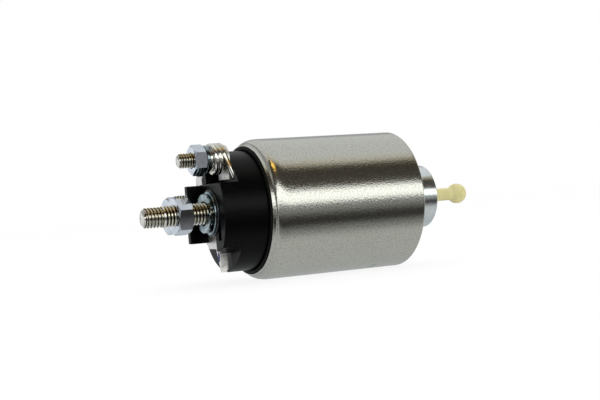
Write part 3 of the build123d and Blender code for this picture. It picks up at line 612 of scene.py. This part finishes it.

# Springs: the CAD shapes, drawn smooth, each on the body that carries it
for node, body, joint, anchor, keep in (
    ("return_spring", "housing", "plunger_slide", -33.8, 10.3 / 20.3),
    ("jump_spring", "plunger", "pin_slide", 12.0, 9.45 / 15.45),
    ("contact_spring", "contact_rod", "contact_rod_slide", -56.3, 4.4 / 5.2),
    ("rod_spring", "housing", "contact_rod_slide", -75.5, 6.2 / 9.2),
):
    coil_mesh = outward(merged_copy(node), 60)
    coil_mesh.materials.clear()
    coil_mesh.materials.append(spring_steel)
    coil = piece(node + "_coil", coil_mesh, body, node)
    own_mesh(coil)

# CAD nodes that stay, with their finishes
for node, material in {
    "pole_plate": zinc_plate,
    "guide_sleeve": drawn_brass,
    "bobbin": white_nylon,
    "pull_in_winding": winding_wire,
    "hold_in_winding": winding_wire,
    "winding_wrap": wrap_paper,
    "core": core_iron,
    "plunger_collar": zinc_plate,
    "spring_seat": zinc_plate,
    "contact_rod": brown_phenolic,
    "rod_clip": spring_steel,
    "contact_disc": bare_copper,
    "front_bush": brown_phenolic,
    "rear_bush": brown_phenolic,
    "chamber_gasket": seal_rubber,
    "cap_seal": seal_rubber,
    "stud_seals": seal_rubber,
    "switch_plate": tinned_copper,
    "motor_lead": winding_wire,
}.items():
    for slot in nodes[node].material_slots:
        slot.material = material

# Floor: pale paper that keeps the object's shadow. The camera sees it nearly white. Metal sees a
# painted reflection instead: a glow whose grey changes along Y, darkest in a band just in front of
# the object for the studio's dark gap, and a little darker under the object than behind it for the
# object's shadow
paper, tree, shader, place = new_material("pale_paper_floor", Roughness=0.9)
fibre = add(tree, "ShaderNodeTexNoise", {"Vector": place, "Scale": 30.0, "Detail": 2.0})
shade = add(tree, "ShaderNodeValToRGB", {0: fibre}, [(0.3, "E6E6E6"), (0.7, "EAEAEA")])
finish(tree, shader, Base_Color=shade)
path = add(tree, "ShaderNodeLightPath").outputs
direct = {0: path["Is Camera Ray"], 1: path["Is Transmission Ray"]}
seen = add(tree, "ShaderNodeMath", direct, operation="MAXIMUM")
white = add(tree, "ShaderNodeEmission", {"Color": linear("FFFFFF"), "Strength": 1.08})
over = add(tree, "ShaderNodeSeparateXYZ", {0: place}).outputs
depth = add(tree, "ShaderNodeMapRange", {"Value": over["Y"], 1: -0.4, 2: 0.1})
# Painted reflection: the greys the floor shows in metal, with a painted dark gap and a painted
# shadow
painted_gap_and_shadow = add(
    tree,
    "ShaderNodeValToRGB",
    {0: depth},
    [
        (0.44, "8E8E8C"),
        (0.576, "595856"),
        (0.616, "3C3A38"),
        (0.676, "383634"),
        (0.712, "959594"),
        (0.732, "C5C6C4"),
        (0.768, "C2C3C2"),
        (0.8, "B4B8BA"),
        (1.0, "E4E6E8"),
    ],
)
painted_floor_reflection = add(tree, "ShaderNodeEmission", {"Color": painted_gap_and_shadow, "Strength": 1.0})
shown = add(tree, "ShaderNodeMath", {0: seen, 1: 0.8}, operation="MULTIPLY")
lifted = add(tree, "ShaderNodeMixShader", {0: shown, 1: shader, 2: white})
mixed = add(tree, "ShaderNodeMixShader", {0: path["Is Glossy Ray"], 1: lifted, 2: painted_floor_reflection})
output = next(n for n in tree.nodes if n.bl_idname == "ShaderNodeOutputMaterial")
tree.links.new(mixed.outputs[0], output.inputs["Surface"])
floor_mesh = bpy.data.meshes.new("floor")
half, low = 6.0, -CASE_RADIUS * MM - 0.00005
floor_mesh.from_pydata(
    [(-half, -half, low), (half, -half, low), (half, half, low), (-half, half, low)],
    [],
    [(0, 1, 2, 3)],
)
floor_mesh.materials.append(paper)
floor = bpy.data.objects.new("floor", floor_mesh)
bpy.context.scene.collection.objects.link(floor)

# World: white to the camera, and an even white for soft light. In reflections it is a studio that
# changes with the angle above the camera's side: a bright screen low in front and taller to the
# left, a dim warm gap over it with one small brass-coloured lamp, and a grey ceiling that is paler
# low at the back
world = bpy.data.worlds.new("studio")
bpy.context.scene.world = world
world.use_nodes = True
tree = world.node_tree
tree.nodes.clear()
toward = add(tree, "ShaderNodeTexCoord").outputs["Generated"]
way = add(tree, "ShaderNodeSeparateXYZ", {0: toward}).outputs
front = add(tree, "ShaderNodeMath", {0: way["Y"], 1: -1.0}, operation="MULTIPLY")
lift = add(tree, "ShaderNodeMath", {0: way["Z"], 1: front}, operation="ARCTAN2")
share = add(tree, "ShaderNodeMapRange", {"Value": lift, 1: 0.0, 2: math.pi})
raised = add(tree, "ShaderNodeMapRange", {"Value": way["X"], 1: 0.44, 2: -0.2, 4: 0.42})
left = add(tree, "ShaderNodeMath", {0: 1.0, 1: share}, operation="SUBTRACT")
eased = add(tree, "ShaderNodeMath", {0: raised, 1: left}, operation="MULTIPLY")
kept = add(tree, "ShaderNodeMath", {0: 1.0, 1: eased}, operation="SUBTRACT")
level = add(tree, "ShaderNodeMath", {0: share, 1: kept}, operation="MULTIPLY")
studio = add(
    tree,
    "ShaderNodeValToRGB",
    {0: level},
    [
        (0.0, "525252"),
        (0.012, "525252"),
        (0.027, "F9F9F7"),
        (0.131, "F9F9F7"),
        (0.150, "36322C"),
        (0.345, "302C28"),
        (0.40, "7A705A"),
        (0.46, "7C7D7C"),
        (0.9, "7C7D7E"),
        (0.94, "B6B8BA"),
    ],
)
room = add(tree, "ShaderNodeBackground", {"Color": studio, "Strength": 1.8})
brass_lamp = (-0.13, -0.33, 0.93)
away = add(tree, "ShaderNodeVectorMath", {0: toward, 1: brass_lamp}, operation="DISTANCE")
glow = add(tree, "ShaderNodeMapRange", {"Value": away.outputs["Value"], 1: 0.16, 2: 0.08, 4: 3.2})
brass = add(tree, "ShaderNodeBackground", {"Color": linear("E8B84C"), "Strength": glow})
mirrored = add(tree, "ShaderNodeAddShader", {0: room, 1: brass})
white = add(tree, "ShaderNodeBackground", {"Color": linear("FFFFFF"), "Strength": 1.0})
path = add(tree, "ShaderNodeLightPath").outputs
direct = {0: path["Is Camera Ray"], 1: path["Is Transmission Ray"]}
seen = add(tree, "ShaderNodeMath", direct, operation="MAXIMUM")
even = add(tree, "ShaderNodeBackground", {"Color": linear("FFFFFF"), "Strength": 0.8})
lit = add(tree, "ShaderNodeMixShader", {0: path["Is Diffuse Ray"], 1: mirrored, 2: even})
sky = add(tree, "ShaderNodeMixShader", {0: seen, 1: lit, 2: white})
add(tree, "ShaderNodeOutputWorld", {"Surface": sky})

# One soft lamp overhead, for the shadow on the floor
lamp = bpy.data.lights.new("top_softbox", "AREA")
lamp.shape = "RECTANGLE"
lamp.size, lamp.size_y = 1.2, 1.0
lamp.energy = 1.3
softbox = bpy.data.objects.new("top_softbox", lamp)
softbox.location = (0.06, 0.26, 0.62)
softbox.rotation_euler = Vector((0.09, 0.26, 0.62)).to_track_quat("Z", "Y").to_euler()
bpy.context.scene.collection.objects.link(softbox)

# Camera: where the photo's own stood
camera_data = bpy.data.cameras.new("studio_camera")
camera_data.lens = 69.943
camera_data.sensor_width = 36.0
camera_data.clip_start, camera_data.clip_end = 0.01, 50.0
camera = bpy.data.objects.new("studio_camera", camera_data)
right = Vector((0.895875, -0.437462, -0.077688))
up = Vector((0.069827, -0.034053, 0.996978))
facing = Matrix((right, up, right.cross(up))).transposed().to_4x4()
camera.matrix_world = Matrix.Translation(Vector((-240.7355, -409.6762, 2.3431)) * MM) @ facing
bpy.context.scene.collection.objects.link(camera)
bpy.context.scene.camera = camera
bpy.context.scene.view_settings.view_transform = "Standard"
